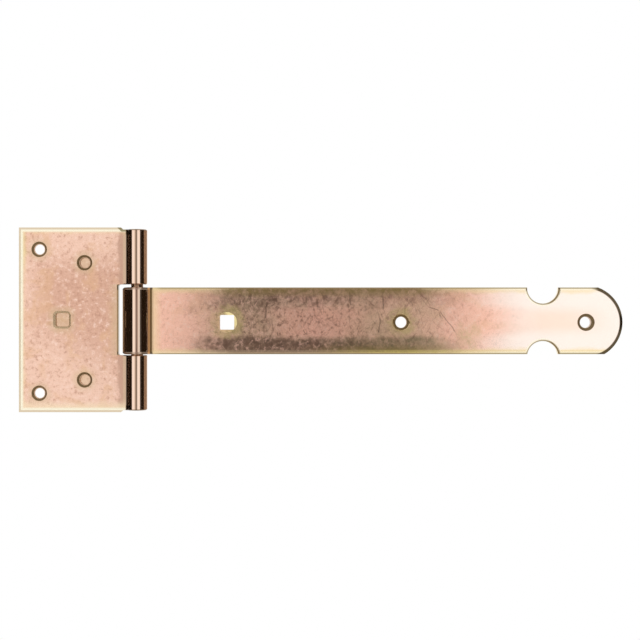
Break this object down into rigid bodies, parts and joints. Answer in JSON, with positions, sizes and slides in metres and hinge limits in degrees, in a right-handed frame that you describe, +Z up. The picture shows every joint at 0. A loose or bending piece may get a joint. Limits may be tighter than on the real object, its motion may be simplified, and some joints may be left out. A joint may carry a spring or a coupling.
{
  "type": "tee hinge",
  "caption": "Tee hinge: a long flat strap with a notched round end and rolled eye swings on a pin held in the knuckles of a folded double cross leaf, with countersunk screw holes.",
  "frame": {"origin": "on the back face of the cross leaf, at half its height, behind the middle of its hole pattern", "axes": "+X from the cross leaf towards the strap's tip, +Y out of the back faces towards what the hinge is screwed to, +Z up along the pin; the show faces look to -Y"},
  "size_m": [0.3618, 0.0174, 0.1106],
  "materials": {
    "leaf_zinc": "zinc plated and yellow passivated, satin, with a fine grain",
    "strap_zinc": "zinc plated and yellow passivated, satin, stained and lightly scratched in the middle",
    "pin_zinc": "zinc plated steel"
  },
  "bodies": {
    "leaf": {"cross_leaf": "leaf_zinc", "hinge_pin": "pin_zinc"},
    "strap": {"strap_leaf": "strap_zinc"}
  },
  "joints": [
    {"name": "strap_swing", "type": "hinge", "parent": "leaf", "child": "strap", "pos_m": [0.04465, -0.0026, 0], "axis": [0, 0, 1], "range_deg": [-152, 152]}
  ]
}
